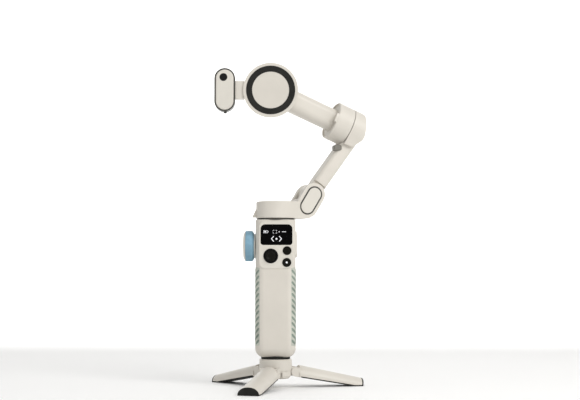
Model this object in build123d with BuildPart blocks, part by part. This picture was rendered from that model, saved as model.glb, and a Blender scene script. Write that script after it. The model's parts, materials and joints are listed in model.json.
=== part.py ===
"""Three-axis folding phone gimbal on a mini tripod, with a magnetic phone holder and a tracking module.

Millimetres. +Z up, floor at Z = 0, +X to the right, -Y towards the user. The origin is on the floor under
the pan axis, which is also the middle of the handle.
"""

import os
from math import cos, radians, sin

from build123d import *

os.makedirs("parts", exist_ok=True)

# ---- Driving dimensions ------------------------------------------------------------------------------

# Handle
HANDLE_W, HANDLE_D = 40.0, 36.0
HANDLE_FRONT_CORNER, HANDLE_REAR_CORNER = 9.0, 13.0
HANDLE_Z0, HANDLE_Z1 = 30.4, 165.6
HANDLE_WALL, HANDLE_FLOOR, HANDLE_ROOF = 1.8, 11.0, 2.4
HANDLE_FOOT_R, HANDLE_RIM_R = 8.5, 0.8
INSERT_R, INSERT_L = 6.0, 11.0
SCREW_X, SCREW_LOW_Z, SCREW_HIGH_Z = 8.0, 64.0, 112.0
FRONT_Y = -HANDLE_D / 2
BACK_Y = HANDLE_D / 2

# Control panel on the handle's front
PANEL_X, PANEL_W, PANEL_Z0, PANEL_Z1 = 0.6, 33.4, 117.2, 164.2
PANEL_PROUD, PANEL_SUNK = 0.8, 3.0
PANEL_BACK_Y = FRONT_Y + PANEL_SUNK
PANEL_FACE_Y = FRONT_Y - PANEL_PROUD
DISPLAY_X, DISPLAY_Z, DISPLAY_W, DISPLAY_H = 1.0, 150.6, 31.4, 20.4
DISPLAY_TOP_R, DISPLAY_LOW_R = 4.6, 2.7
STICK_X, STICK_Z, STICK_R = -4.6, 129.7, 7.3
STICK_PIVOT_Y = PANEL_FACE_Y + 3.8
MODE_X, MODE_Z, MODE_R = 11.4, 134.9, 4.1
RECORD_X, RECORD_Z, RECORD_R = 11.1, 123.3, 4.2
BUTTON_GAP = 0.25
GLASS_T = 1.2

# Side grip inlays
GRIP_Z0, GRIP_Z1, GRIP_EDGE_X, GRIP_T = 41.5, 118.5, 15.4, 1.1

# Side wheel, on an axle along X
WHEEL_Z, WHEEL_R = 139.8, 15.3
WHEEL_X0, WHEEL_TYRE_X0, WHEEL_TYRE_X1 = -32.3, -30.0, -21.4
WHEEL_CORE_R, WHEEL_COLLAR_R, WHEEL_COLLAR_X = 10.0, 12.2, -20.3
AXLE_R, AXLE_END_X, RUNNING_GAP = 3.0, -14.0, 0.05

# Rear trigger, power button and charging port
TRIGGER_W, TRIGGER_PIVOT_Y, TRIGGER_PIVOT_Z, TRIGGER_AXLE_R = 14.0, 13.0, 151.0, 1.25
POWER_Z, POWER_L, POWER_W = 141.4, 26.0, 11.0
PORT_Z, PORT_W, PORT_H = 52.0, 9.0, 3.2

# Cells and main board inside the handle
CELL_R, CELL_L, CELL_X, CELL_Z = 8.5, 50.0, 8.8, 76.0
TRAY_T, TRAY_LOW_Z, TRAY_HIGH_Z, TRAY_D = 3.0, 48.0, 101.0, 20.0
BOARD_W, BOARD_H, BOARD_Y, BOARD_Z, BOARD_T = 28.0, 52.0, -10.4, 134.0, 1.2

# Pan motor and arm plane
PAN_Z0, PAN_Z1, PAN_R = 167.4, 184.2, 19.6
ARM_YAW = 19.0
HEAD_T, SLOT_T, SLOT_R, HEAD_R = 26.0, 14.0, 16.6, 11.2
HINGE_U, HINGE_Z = 36.8, 191.8
COVER_U, COVER_Z = 29.05, 179.2
COVER_R, COVER_RING_W = 8.0, 1.5
HINGE_PIN_R = 2.5
CLIP_REACH = 3.7

# Upper arm: leans from the vertical in the arm plane
ARM_LEAN = 36.5
ARM_W, ARM_T, KNUCKLE_T, KNUCKLE_R = 14.6, 20.0, 13.4, 10.6
SHOULDER, ARM_L = 13.4, 62.0

# Tilt motor: its seam centre and its axis in the arm plane
SEAM_U, SEAM_Z, TILT_RISE = 76.0, 262.6, 22.0
TILT_R, TILT_DRUM_L, TILT_BASE_L, SEAM_GAP = 19.8, 17.6, 12.0, 0.5
TILT_BACK_R, TILT_TAPER = 5.0, 30.0
ROLL_ALONG = 87.7
TUBE_W, TUBE_H, TUBE_WALL = 22.4, 20.0, 2.0
STOP_U, STOP_Z = 62.8, 240.0
TOOTH_W, TOOTH_L = 9.0, 3.6

# Roll motor and phone holder: the axis points at the user
ROLL_R, ROLL_FRONT, ROLL_BACK = 17.0, 4.4, 15.0
HOLDER_R, HOLDER_T, BRACKET_H = 27.5, 4.2, 18.0
PAD_R0, PAD_R1 = 18.5, 24.5

# Motors
MOTOR_R, ROLL_MOTOR_R, MOTOR_WALL = 15.4, 13.4, 2.2
SLEEVE_R, SHAFT_R = 4.4, 2.5

# Tracking module
TRACK_W, TRACK_H, TRACK_T = 20.7, 43.5, 12.0
TRACK_X, TRACK_Z, TRACK_FACE_Y = -51.0, 295.9, -11.0
TRACK_RIM, LENS_R, LENS_X, LENS_Z = 1.4, 3.9, -52.2, 308.4

# Tripod
HUB_R0, HUB_R1, HUB_Z0, HUB_Z1 = 16.8, 15.9, 9.1, 28.2
HUB_SEAM_Z = 16.6
NECK_R, SCREW_HEAD_R, SCREW_THREAD_R = 14.35, 6.5, 3.175
LEG_ANGLES = {"front": 254.0, "right": 14.4, "left": 132.4}
LEG_PIVOT_R, LEG_PIVOT_Z, LEG_START, LEG_REACH = 18.5, 15.5, 4.1, 71.0
LEG_W, LEG_SLOPE, LEG_LUG_W, LEG_EAR_T = 20.6, 9.9, 13.0, 2.9
LEG_PIN_R, LEG_PIN_SKIN, LEG_EAR_R = 1.5, 1.0, 4.6
SOLE_T, LEG_UNDER, LEG_H0, LEG_H1 = 1.2, 4.7, 11.7, 9.0

# ---- Frames ------------------------------------------------------------------------------------------

yaw = radians(ARM_YAW)
rise = radians(TILT_RISE)
lean = radians(ARM_LEAN)
u_dir = Vector(cos(yaw), sin(yaw), 0)
n_dir = Vector(sin(yaw), -cos(yaw), 0)
up = Vector(0, 0, 1)


def arm_point(u, z):
    """A point given in the arm plane: u outwards, z up."""
    return u_dir * u + up * z


tilt_dir = u_dir * -cos(rise) + up * sin(rise)
seam_point = arm_point(SEAM_U, SEAM_Z)
roll_point = seam_point + tilt_dir * ROLL_ALONG
arm_dir = u_dir * sin(lean) + up * cos(lean)

ARM_PLANE = Plane(origin=(0, 0, 0), x_dir=u_dir, z_dir=n_dir)
WHEEL_AXIS = Axis((0, 0, WHEEL_Z), (1, 0, 0))
WHEEL_PLANE = Plane(origin=(0, 0, WHEEL_Z), x_dir=(1, 0, 0), z_dir=(0, -1, 0))
HINGE_PLANE = Plane(origin=arm_point(HINGE_U, HINGE_Z), x_dir=u_dir, z_dir=n_dir)
TILT_PLANE = Plane(origin=seam_point, x_dir=n_dir, z_dir=tilt_dir)
ROLL_PLANE = Plane(origin=roll_point, x_dir=(1, 0, 0), z_dir=(0, -1, 0))
ARM_BAR_PLANE = Plane(origin=arm_point(HINGE_U, HINGE_Z), x_dir=n_dir, z_dir=arm_dir)
PAN_MOTOR_PLANE = Plane.XY.offset(PAN_Z0 - 0.4)
PAN_MOTOR_H = PAN_Z1 - MOTOR_WALL - (PAN_Z0 - 0.4)
TILT_MOTOR_PLANE = TILT_PLANE.offset(-TILT_BASE_L + 2.4)
TILT_MOTOR_H = TILT_BASE_L + TILT_DRUM_L - 5.2
ROLL_MOTOR_PLANE = ROLL_PLANE.offset(-ROLL_BACK + 2.4)
ROLL_MOTOR_H = ROLL_BACK + ROLL_FRONT - 2.4 + 0.4
HOLDER_PLANE = ROLL_PLANE.offset(ROLL_FRONT + 0.4)
TRACK_EDGE_X = TRACK_X + TRACK_W / 2


def front_plane(y):
    """A plane facing the user at the depth y, with sketch X to the right and sketch Y up."""
    return Plane(origin=(0, y, 0), x_dir=(1, 0, 0), z_dir=(0, -1, 0))


def side_plane(x):
    """A plane facing +X, with sketch X along +Y and sketch Y up."""
    return Plane(origin=(x, 0, 0), x_dir=(0, 1, 0), z_dir=(1, 0, 0))


def polar(angle, radius):
    """X and Y of a point round the pan axis."""
    return radius * cos(radians(angle)), radius * sin(radians(angle))


# ---- Handle shells -----------------------------------------------------------------------------------

def handle_outline(inset):
    """Plan of the handle, drawn in by inset, with rounder corners at the back."""
    half_w, half_d = HANDLE_W / 2 - inset, HANDLE_D / 2 - inset
    front_r, rear_r = HANDLE_FRONT_CORNER - inset, HANDLE_REAR_CORNER - inset
    with BuildLine() as outline:
        FilletPolyline(
            (-half_w, -half_d), (half_w, -half_d), (half_w, half_d), (-half_w, half_d),
            radius=(front_r, front_r, rear_r, rear_r), close=True,
        )
    return outline.line


def screw_places(y):
    """The four screws in the handle's back, heads outwards, at the depth y."""
    return [
        Location((side * SCREW_X, y, z), (-90, 0, 0)) for side in (-1, 1) for z in (SCREW_LOW_Z, SCREW_HIGH_Z)
    ]


with BuildPart() as handle_form:
    with BuildSketch(Plane.XY.offset(HANDLE_Z0)):
        add(handle_outline(0))
        make_face()
    extrude(amount=HANDLE_Z1 - HANDLE_Z0)
    fillet(handle_form.edges().group_by(Axis.Z)[0], HANDLE_FOOT_R)
    fillet(handle_form.edges().group_by(Axis.Z)[-1], HANDLE_RIM_R)

with BuildPart() as handle_cavity:
    with BuildSketch(Plane.XY.offset(HANDLE_Z0 + HANDLE_FLOOR)):
        add(handle_outline(HANDLE_WALL))
        make_face()
    extrude(amount=HANDLE_Z1 - HANDLE_Z0 - HANDLE_FLOOR - HANDLE_ROOF)

with BuildPart() as grip_zone:
    for side in (-1, 1):
        with BuildSketch(side_plane(side * GRIP_EDGE_X)):
            with Locations((0, (GRIP_Z0 + GRIP_Z1) / 2)):
                RectangleRounded(HANDLE_D + 4, GRIP_Z1 - GRIP_Z0, 6)
        extrude(amount=side * 8)

with BuildPart() as grip_skin:
    add(handle_form.part)
    with BuildSketch(Plane.XY.offset(HANDLE_Z0)):
        add(handle_outline(GRIP_T))
        make_face()
    extrude(amount=HANDLE_Z1 - HANDLE_Z0, mode=Mode.SUBTRACT)
    add(grip_zone.part, mode=Mode.INTERSECT)

with BuildPart() as panel_form:
    with BuildSketch(front_plane(PANEL_BACK_Y)):
        with Locations((PANEL_X, (PANEL_Z0 + PANEL_Z1) / 2)):
            RectangleRounded(PANEL_W, PANEL_Z1 - PANEL_Z0, 6)
    extrude(amount=PANEL_BACK_Y - PANEL_FACE_Y)

with BuildPart() as trigger_window:
    with BuildSketch(front_plane(BACK_Y + 2)):
        with Locations((0, TRIGGER_PIVOT_Z - 10)):
            RectangleRounded(TRIGGER_W + 1.0, 29, 3)
    extrude(amount=6)

with BuildPart() as handle_shell:
    add(handle_form.part)
    add(handle_cavity.part, mode=Mode.SUBTRACT)
    add(grip_skin.part, mode=Mode.SUBTRACT)
    add(panel_form.part, mode=Mode.SUBTRACT)
    # pocket behind the control panel, for the joystick and the buttons
    with BuildSketch(front_plane(PANEL_BACK_Y + 8)):
        with Locations((0, (PANEL_Z0 + PANEL_Z1) / 2)):
            RectangleRounded(PANEL_W - 0.8, PANEL_Z1 - PANEL_Z0 - 2, 4)
    extrude(amount=8.2, mode=Mode.SUBTRACT)
    # lugs that carry the trigger's axle
    for side in (-1, 1):
        with BuildSketch(side_plane(side * (TRIGGER_W / 2 + 0.4))):
            with Locations((TRIGGER_PIVOT_Y + 1.0, TRIGGER_PIVOT_Z)):
                Rectangle(6.5, 5)
            with Locations((TRIGGER_PIVOT_Y, TRIGGER_PIVOT_Z)):
                Circle(TRIGGER_AXLE_R + RUNNING_GAP, mode=Mode.SUBTRACT)
        extrude(amount=side * 2)
    add(trigger_window.part, mode=Mode.SUBTRACT)
    # bore of the brass insert, up from the foot
    with Locations((0, 0, HANDLE_Z0 + INSERT_L / 2)):
        Cylinder(INSERT_R, INSERT_L + 0.2, mode=Mode.SUBTRACT)
    # side wheel axle
    with BuildSketch(side_plane(-HANDLE_W / 2 - 1)):
        with Locations((0, WHEEL_Z)):
            Circle(AXLE_R + RUNNING_GAP)
    extrude(amount=4, mode=Mode.SUBTRACT)
    # power button
    with BuildSketch(side_plane(HANDLE_W / 2 + 1)):
        with Locations((0, POWER_Z)):
            RectangleRounded(POWER_W + 0.6, POWER_L + 0.6, 5)
    extrude(amount=-4, mode=Mode.SUBTRACT)
    # charging port
    with BuildSketch(front_plane(BACK_Y + 1)):
        with Locations((0, PORT_Z)):
            RectangleRounded(PORT_W + 0.2, PORT_H + 0.2, 1.6)
    extrude(amount=5, mode=Mode.SUBTRACT)
    # screw holes in the back
    with Locations(*screw_places(BACK_Y)):
        CounterBoreHole(radius=1.0, counter_bore_radius=2.0, counter_bore_depth=1.2, depth=6)

with BuildPart() as handle_front_shell:
    add(handle_shell.part)
    split(bisect_by=Plane.XZ, keep=Keep.TOP)
handle_front_shell.part.label = "handle_front_shell"
export_step(handle_front_shell.part, "parts/handle_front_shell.step")

with BuildPart() as handle_rear_shell:
    add(handle_shell.part)
    split(bisect_by=Plane.XZ, keep=Keep.BOTTOM)
handle_rear_shell.part.label = "handle_rear_shell"
export_step(handle_rear_shell.part, "parts/handle_rear_shell.step")

with BuildPart() as grip_left:
    add(grip_skin.part)
    split(bisect_by=Plane.YZ, keep=Keep.BOTTOM)
grip_left.part.label = "grip_left"
export_step(grip_left.part, "parts/grip_left.step")

with BuildPart() as grip_right:
    add(grip_skin.part)
    split(bisect_by=Plane.YZ, keep=Keep.TOP)
grip_right.part.label = "grip_right"
export_step(grip_right.part, "parts/grip_right.step")

with BuildPart() as shell_screws:
    with Locations(*screw_places(BACK_Y - 1.2)):
        Cylinder(1.9, 0.9, align=(Align.CENTER, Align.CENTER, Align.MIN))
        Cylinder(0.95, 4.0, align=(Align.CENTER, Align.CENTER, Align.MAX))
shell_screws.part.label = "shell_screws"
export_step(shell_screws.part, "parts/shell_screws.step")


# ---- Control panel, display, buttons and joystick ----------------------------------------------------

def display_outline():
    """Rounded outline of the display, with wider corners at the top."""
    x0, x1 = DISPLAY_X - DISPLAY_W / 2, DISPLAY_X + DISPLAY_W / 2
    z0, z1 = DISPLAY_Z - DISPLAY_H / 2, DISPLAY_Z + DISPLAY_H / 2
    with BuildLine() as outline:
        FilletPolyline(
            (x0, z0), (x1, z0), (x1, z1), (x0, z1),
            radius=(DISPLAY_LOW_R, DISPLAY_LOW_R, DISPLAY_TOP_R, DISPLAY_TOP_R), close=True,
        )
    return outline.line


with BuildPart() as control_panel:
    add(panel_form.part)
    fillet(control_panel.faces().sort_by(Axis.Y)[0].edges(), 0.5)
    with BuildSketch(front_plane(PANEL_FACE_Y)):
        add(display_outline())
        make_face()
    extrude(amount=-GLASS_T, mode=Mode.SUBTRACT)
    with BuildSketch(front_plane(PANEL_FACE_Y)):
        with Locations((STICK_X, STICK_Z)):
            Circle(STICK_R)
        with Locations((MODE_X, MODE_Z)):
            Circle(MODE_R + BUTTON_GAP)
        with Locations((RECORD_X, RECORD_Z)):
            Circle(RECORD_R + BUTTON_GAP)
    extrude(amount=-5, mode=Mode.SUBTRACT)
control_panel.part.label = "control_panel"
export_step(control_panel.part, "parts/control_panel.step")

with BuildPart() as display_window:
    with BuildSketch(front_plane(PANEL_FACE_Y + GLASS_T)):
        add(display_outline())
        make_face()
    extrude(amount=GLASS_T)
display_window.part.label = "display_window"
export_step(display_window.part, "parts/display_window.step")

with BuildPart() as joystick_base:
    with BuildSketch(front_plane(STICK_PIVOT_Y + 3.4)):
        with Locations((STICK_X, STICK_Z)):
            Circle(STICK_R)
    extrude(amount=STICK_PIVOT_Y + 3.4 - PANEL_FACE_Y + 0.5)
    fillet(joystick_base.edges().sort_by(Axis.Y)[0], 0.3)
    with BuildSketch(front_plane(STICK_PIVOT_Y + 2.2)):
        with Locations((STICK_X, STICK_Z)):
            Circle(STICK_R - 0.8)
    extrude(amount=12, mode=Mode.SUBTRACT)
joystick_base.part.label = "joystick_base"
export_step(joystick_base.part, "parts/joystick_base.step")

with BuildPart() as joystick_gimbal_ring:
    with BuildSketch(front_plane(STICK_PIVOT_Y)):
        with Locations((STICK_X, STICK_Z)):
            Circle(3.6)
            Circle(2.4, mode=Mode.SUBTRACT)
    extrude(amount=0.8, both=True)
    # trunnions that rest in the base
    for side in (-1, 1):
        with BuildSketch(side_plane(STICK_X + side * 3.0)):
            with Locations((STICK_PIVOT_Y, STICK_Z)):
                Circle(0.5)
        extrude(amount=side * (STICK_R - 0.9 - 3.0))
joystick_gimbal_ring.part.label = "joystick_gimbal_ring"
export_step(joystick_gimbal_ring.part, "parts/joystick_gimbal_ring.step")

with BuildPart() as joystick_cap:
    stick_tip = PANEL_FACE_Y - 3.0
    with BuildSketch(Plane(origin=(STICK_X, STICK_PIVOT_Y, STICK_Z), x_dir=(1, 0, 0), z_dir=(0, 0, 1))):
        with BuildLine():
            Polyline(
                (0, 1.6), (0.9, 1.4), (1.6, 0.8), (1.6, PANEL_FACE_Y - 0.9 - STICK_PIVOT_Y),
                (4.7, PANEL_FACE_Y - 0.9 - STICK_PIVOT_Y), (5.0, PANEL_FACE_Y - 1.4 - STICK_PIVOT_Y),
                (5.0, stick_tip + 0.5 - STICK_PIVOT_Y), (4.6, stick_tip - STICK_PIVOT_Y),
                (4.0, stick_tip - STICK_PIVOT_Y), (2.6, stick_tip + 0.5 - STICK_PIVOT_Y),
                (0, stick_tip + 0.5 - STICK_PIVOT_Y), close=True,
            )
        make_face()
    revolve(axis=Axis((STICK_X, STICK_PIVOT_Y, STICK_Z), (0, 1, 0)))
    # cross pin that rests in the ring
    with Locations((STICK_X, STICK_PIVOT_Y, STICK_Z)):
        Cylinder(0.45, 4.7)
joystick_cap.part.label = "joystick_cap"
export_step(joystick_cap.part, "parts/joystick_cap.step")


def round_button(x, z, radius):
    """A push button, slightly proud of the panel, with a retaining flange behind it."""
    with BuildPart() as button:
        with BuildSketch(front_plane(PANEL_BACK_Y + 0.1)):
            with Locations((x, z)):
                Circle(radius)
        extrude(amount=PANEL_BACK_Y + 0.1 - PANEL_FACE_Y + 0.9)
        fillet(button.edges().sort_by(Axis.Y)[0], 0.4)
        with BuildSketch(front_plane(PANEL_BACK_Y + 0.1)):
            with Locations((x, z)):
                Circle(radius + 0.6)
        extrude(amount=-0.8)
    return button


mode_button = round_button(MODE_X, MODE_Z, MODE_R)
mode_button.part.label = "mode_button"
export_step(mode_button.part, "parts/mode_button.step")

record_button = round_button(RECORD_X, RECORD_Z, RECORD_R)
record_button.part.label = "record_button"
export_step(record_button.part, "parts/record_button.step")

with BuildPart() as main_board:
    with BuildSketch(front_plane(BOARD_Y)):
        with Locations((0, BOARD_Z)):
            RectangleRounded(BOARD_W, BOARD_H, 2)
    extrude(amount=-BOARD_T)
    # two chips
    with Locations((6, BOARD_Y + 2.0, BOARD_Z - 14), (-6, BOARD_Y + 2.0, BOARD_Z - 18)):
        Box(8, 1.6, 8)
main_board.part.label = "main_board"
export_step(main_board.part, "parts/main_board.step")

# ---- Power: cells, tray, charging port, power button --------------------------------------------------

with BuildPart() as battery_cells:
    with Locations((-CELL_X, 0, CELL_Z), (CELL_X, 0, CELL_Z)):
        Cylinder(CELL_R, CELL_L)
battery_cells.part.label = "battery_cells"
export_step(battery_cells.part, "parts/battery_cells.step")

with BuildPart() as battery_tray:
    for tray_z in (TRAY_LOW_Z, TRAY_HIGH_Z):
        with BuildSketch(Plane.XY.offset(tray_z)):
            RectangleRounded(HANDLE_W - 2 * HANDLE_WALL - 0.6, TRAY_D, 8)
        extrude(amount=TRAY_T)
        with Locations((0, TRAY_D / 2 + 0.6, tray_z + TRAY_T / 2)):
            Box(12, 3.0, TRAY_T)
    # strap that joins the two ends behind the cells
    with Locations((0, TRAY_D / 2 + 2.0, (TRAY_LOW_Z + TRAY_HIGH_Z + TRAY_T) / 2)):
        Box(12, 1.6, TRAY_HIGH_Z + TRAY_T - TRAY_LOW_Z)
battery_tray.part.label = "battery_tray"
export_step(battery_tray.part, "parts/battery_tray.step")

with BuildPart() as charge_port:
    with BuildSketch(front_plane(BACK_Y - 0.3)):
        with Locations((0, PORT_Z)):
            RectangleRounded(PORT_W, PORT_H, 1.5)
            RectangleRounded(PORT_W - 0.6, PORT_H - 0.6, 1.2, mode=Mode.SUBTRACT)
    extrude(amount=4.6)
    with BuildSketch(front_plane(BACK_Y - 1.2)):
        with Locations((0, PORT_Z)):
            RectangleRounded(6.6, 0.8, 0.3)
    extrude(amount=3.4)
    with BuildSketch(front_plane(BACK_Y - 4.3)):
        with Locations((0, PORT_Z)):
            RectangleRounded(PORT_W, PORT_H, 1.5)
    extrude(amount=0.8)
charge_port.part.label = "charge_port"
export_step(charge_port.part, "parts/charge_port.step")

with BuildPart() as power_button:
    with BuildSketch(side_plane(HANDLE_W / 2 - 1.6)):
        with Locations((0, POWER_Z)):
            RectangleRounded(POWER_W, POWER_L, 4.8)
    extrude(amount=3.0)
    fillet(power_button.edges().group_by(Axis.X)[-1], 1.0)
power_button.part.label = "power_button"
export_step(power_button.part, "parts/power_button.step")

# ---- Rear trigger --------------------------------------------------------------------------------------

with BuildPart() as trigger:
    with BuildSketch(side_plane(-TRIGGER_W / 2)):
        with BuildLine():
            Polyline(
                (TRIGGER_PIVOT_Y + 3.0, TRIGGER_PIVOT_Z + 2.6),
                (TRIGGER_PIVOT_Y - 2.4, TRIGGER_PIVOT_Z + 2.6),
                (TRIGGER_PIVOT_Y - 2.4, TRIGGER_PIVOT_Z - 4), (BACK_Y - 2.4, TRIGGER_PIVOT_Z - 8),
                (BACK_Y - 2.4, TRIGGER_PIVOT_Z - 23.0), (BACK_Y + 1.6, TRIGGER_PIVOT_Z - 23.0),
            )
            Spline(
                (BACK_Y + 1.6, TRIGGER_PIVOT_Z - 23.0), (BACK_Y + 4.2, TRIGGER_PIVOT_Z - 15),
                (BACK_Y + 4.4, TRIGGER_PIVOT_Z - 8), (BACK_Y + 1.2, TRIGGER_PIVOT_Z + 1.0),
                (TRIGGER_PIVOT_Y + 3.0, TRIGGER_PIVOT_Z + 2.6),
            )
        make_face()
    extrude(amount=TRIGGER_W)
    with BuildSketch(side_plane(-TRIGGER_W / 2 - 2.4)):
        with Locations((TRIGGER_PIVOT_Y, TRIGGER_PIVOT_Z)):
            Circle(TRIGGER_AXLE_R)
    extrude(amount=TRIGGER_W + 6.8)
trigger.part.label = "trigger"
export_step(trigger.part, "parts/trigger.step")

with BuildPart() as trigger_spring:
    with BuildSketch(Plane(origin=(0, TRIGGER_PIVOT_Y, TRIGGER_PIVOT_Z), x_dir=(0, 0, 1), z_dir=(0, 1, 0))):
        for turn in range(3):
            with Locations((TRIGGER_AXLE_R + 0.6, TRIGGER_W / 2 + 2.8 + 0.55 * turn)):
                Circle(0.3)
    revolve(axis=Axis((0, TRIGGER_PIVOT_Y, TRIGGER_PIVOT_Z), (1, 0, 0)))
trigger_spring.part.label = "trigger_spring"
export_step(trigger_spring.part, "parts/trigger_spring.step")

# ---- Side wheel ----------------------------------------------------------------------------------------

with BuildPart() as wheel_tyre:
    with BuildSketch(WHEEL_PLANE):
        with BuildLine():
            Polyline(
                (WHEEL_TYRE_X0, WHEEL_CORE_R), (WHEEL_TYRE_X0, WHEEL_R), (WHEEL_TYRE_X1 - 1.8, WHEEL_R),
                (WHEEL_TYRE_X1, WHEEL_R - 2.6), (WHEEL_TYRE_X1, WHEEL_CORE_R), close=True,
            )
        make_face()
    revolve(axis=WHEEL_AXIS)
wheel_tyre.part.label = "wheel_tyre"
export_step(wheel_tyre.part, "parts/wheel_tyre.step")

# outer cap, core, inner collar and axle are one moulding
with BuildPart() as wheel_cap:
    with BuildSketch(WHEEL_PLANE):
        with BuildLine():
            Polyline(
                (WHEEL_X0, 0), (WHEEL_X0, WHEEL_R - 4.2), (WHEEL_X0 + 1.2, WHEEL_R - 1.4),
                (WHEEL_TYRE_X0, WHEEL_R - 0.1), (WHEEL_TYRE_X0, WHEEL_CORE_R), (WHEEL_TYRE_X1, WHEEL_CORE_R),
                (WHEEL_TYRE_X1, WHEEL_COLLAR_R), (WHEEL_COLLAR_X, WHEEL_COLLAR_R), (WHEEL_COLLAR_X, AXLE_R),
                (AXLE_END_X, AXLE_R), (AXLE_END_X, 0), close=True,
            )
        make_face()
    revolve(axis=WHEEL_AXIS)
wheel_cap.part.label = "wheel_cap"
export_step(wheel_cap.part, "parts/wheel_cap.step")


# ---- Brushless motors ----------------------------------------------------------------------------------
# Local Z runs from the fixed side to the moving side. The rotor is a cup over the stator, on a shaft that
# turns in the bearing.

def motor_stator(plane, height, radius):
    """Wound stator: a ring with twelve poles, on a foot."""
    with BuildPart() as stator:
        with BuildSketch(plane):
            Circle(radius * 0.55)
            Circle(SLEEVE_R, mode=Mode.SUBTRACT)
        extrude(amount=height * 0.62)
        with BuildSketch(plane.offset(height * 0.14)):
            with PolarLocations(radius * 0.64, 12):
                Rectangle(radius * 0.30, radius * 0.20)
        extrude(amount=height * 0.44)
    return stator


def motor_bearing(plane, height):
    """Plain sleeve bearing pressed into the stator."""
    with BuildPart() as bearing:
        with BuildSketch(plane):
            Circle(SLEEVE_R)
            Circle(SHAFT_R + RUNNING_GAP, mode=Mode.SUBTRACT)
        extrude(amount=height * 0.62)
    return bearing


def motor_rotor(plane, height, radius):
    """Rotor cup with its magnet ring and shaft."""
    with BuildPart() as rotor:
        with BuildSketch(plane.offset(height * 0.05)):
            Circle(SHAFT_R)
        extrude(amount=height * 0.80)
        with BuildSketch(plane.offset(height * 0.12)):
            Circle(radius)
            Circle(radius - MOTOR_WALL, mode=Mode.SUBTRACT)
        extrude(amount=height * 0.72)
        with BuildSketch(plane.offset(height * 0.84)):
            Circle(radius)
        extrude(amount=height * 0.16)
    return rotor


pan_stator = motor_stator(PAN_MOTOR_PLANE, PAN_MOTOR_H, MOTOR_R)
pan_stator.part.label = "pan_stator"
export_step(pan_stator.part, "parts/pan_stator.step")
pan_bearing = motor_bearing(PAN_MOTOR_PLANE, PAN_MOTOR_H)
pan_bearing.part.label = "pan_bearing"
export_step(pan_bearing.part, "parts/pan_bearing.step")
pan_rotor = motor_rotor(PAN_MOTOR_PLANE, PAN_MOTOR_H, MOTOR_R)
pan_rotor.part.label = "pan_rotor"
export_step(pan_rotor.part, "parts/pan_rotor.step")

tilt_stator = motor_stator(TILT_MOTOR_PLANE, TILT_MOTOR_H, MOTOR_R)
tilt_stator.part.label = "tilt_stator"
export_step(tilt_stator.part, "parts/tilt_stator.step")
tilt_bearing = motor_bearing(TILT_MOTOR_PLANE, TILT_MOTOR_H)
tilt_bearing.part.label = "tilt_bearing"
export_step(tilt_bearing.part, "parts/tilt_bearing.step")
tilt_rotor = motor_rotor(TILT_MOTOR_PLANE, TILT_MOTOR_H, MOTOR_R)
tilt_rotor.part.label = "tilt_rotor"
export_step(tilt_rotor.part, "parts/tilt_rotor.step")

roll_stator = motor_stator(ROLL_MOTOR_PLANE, ROLL_MOTOR_H, ROLL_MOTOR_R)
roll_stator.part.label = "roll_stator"
export_step(roll_stator.part, "parts/roll_stator.step")
roll_bearing = motor_bearing(ROLL_MOTOR_PLANE, ROLL_MOTOR_H)
roll_bearing.part.label = "roll_bearing"
export_step(roll_bearing.part, "parts/roll_bearing.step")
roll_rotor = motor_rotor(ROLL_MOTOR_PLANE, ROLL_MOTOR_H, ROLL_MOTOR_R)
roll_rotor.part.label = "roll_rotor"
export_step(roll_rotor.part, "parts/roll_rotor.step")

with BuildPart() as pan_base_plate:
    with BuildSketch(Plane.XY.offset(HANDLE_Z1)):
        Circle(PAN_R - 0.6)
    extrude(amount=PAN_Z0 - 0.4 - HANDLE_Z1)
pan_base_plate.part.label = "pan_base_plate"
export_step(pan_base_plate.part, "parts/pan_base_plate.step")

# ---- Pan arm: drum, hinge head, cover, ring, pin and parking clip ---------------------------------------

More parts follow.
